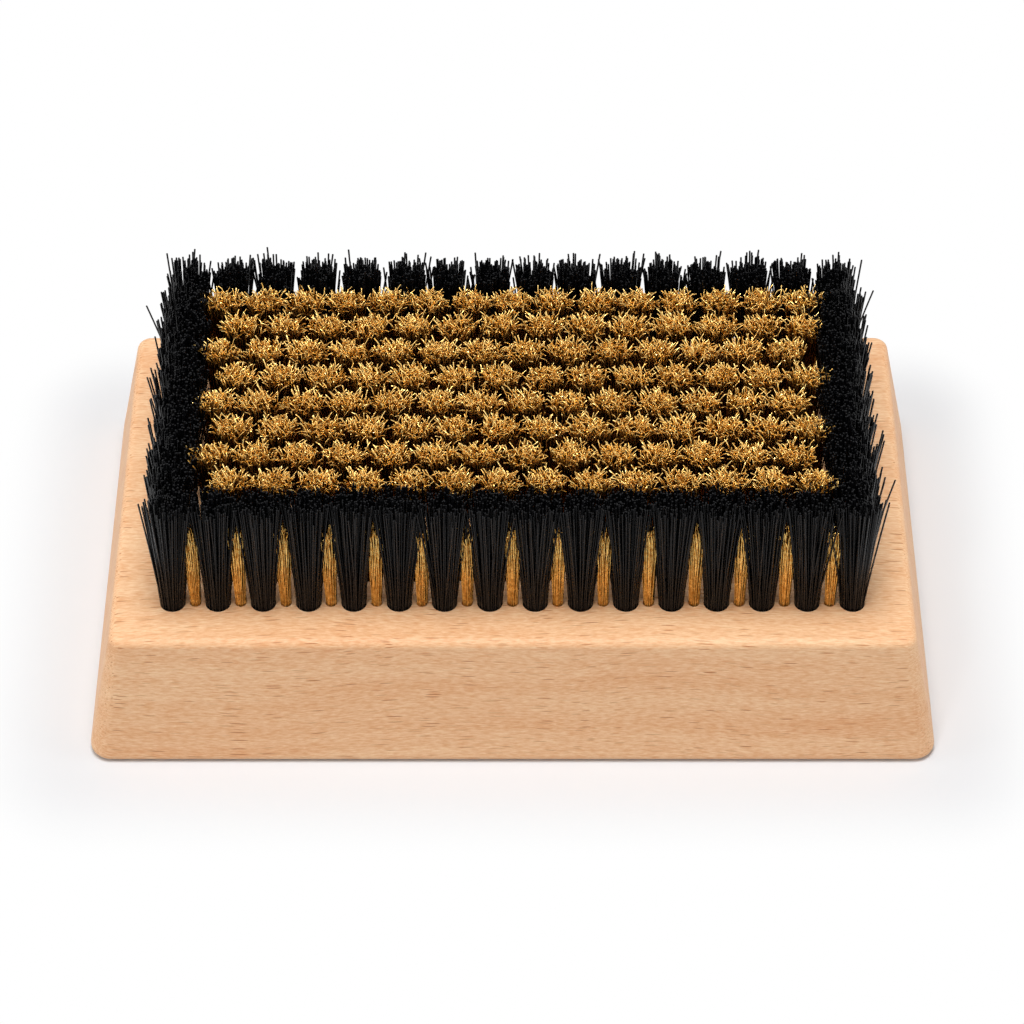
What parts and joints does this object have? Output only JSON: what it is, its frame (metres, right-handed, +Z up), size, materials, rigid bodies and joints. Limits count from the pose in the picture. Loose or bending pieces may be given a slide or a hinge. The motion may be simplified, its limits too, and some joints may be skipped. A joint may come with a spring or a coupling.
{
  "type": "suede brush",
  "caption": "Block brush for suede: a beech block with leaning sides, set with a border of stiff black nylon tufts round staggered rows of brass wire tufts.",
  "frame": {"origin": "Middle of the block's flat base, on which the brush stands with its bristles up", "axes": "+X along the block, +Y from its front to its back, +Z up along the bristles"},
  "size_m": [0.1204, 0.0718, 0.0399],
  "materials": {
    "beech": "smooth unvarnished beech with short dark flecks",
    "black_nylon": "satin black bristle",
    "brass_wire": "bright drawn brass wire",
    "anchor_steel": "plain cut wire"
  },
  "bodies": {
    "root": {"beech_block": "beech", "brass_anchors_back_gaps": "anchor_steel", "brass_anchors_front_gaps": "anchor_steel", "brass_anchors_row_1": "anchor_steel", "brass_anchors_row_2": "anchor_steel", "brass_anchors_row_3": "anchor_steel", "brass_anchors_row_4": "anchor_steel", "brass_anchors_row_5": "anchor_steel", "brass_anchors_row_6": "anchor_steel", "brass_anchors_row_7": "anchor_steel", "brass_anchors_row_8": "anchor_steel", "brass_tufts_back_gaps": "brass_wire", "brass_tufts_front_gaps": "brass_wire", "brass_tufts_row_1": "brass_wire", "brass_tufts_row_2": "brass_wire", "brass_tufts_row_3": "brass_wire", "brass_tufts_row_4": "brass_wire", "brass_tufts_row_5": "brass_wire", "brass_tufts_row_6": "brass_wire", "brass_tufts_row_7": "brass_wire", "brass_tufts_row_8": "brass_wire", "nylon_anchors_back_row": "anchor_steel", "nylon_anchors_front_row": "anchor_steel", "nylon_anchors_left_column": "anchor_steel", "nylon_anchors_right_column": "anchor_steel", "nylon_tufts_back_row": "black_nylon", "nylon_tufts_front_row": "black_nylon", "nylon_tufts_left_column": "black_nylon", "nylon_tufts_right_column": "black_nylon"}
  },
  "joints": []
}
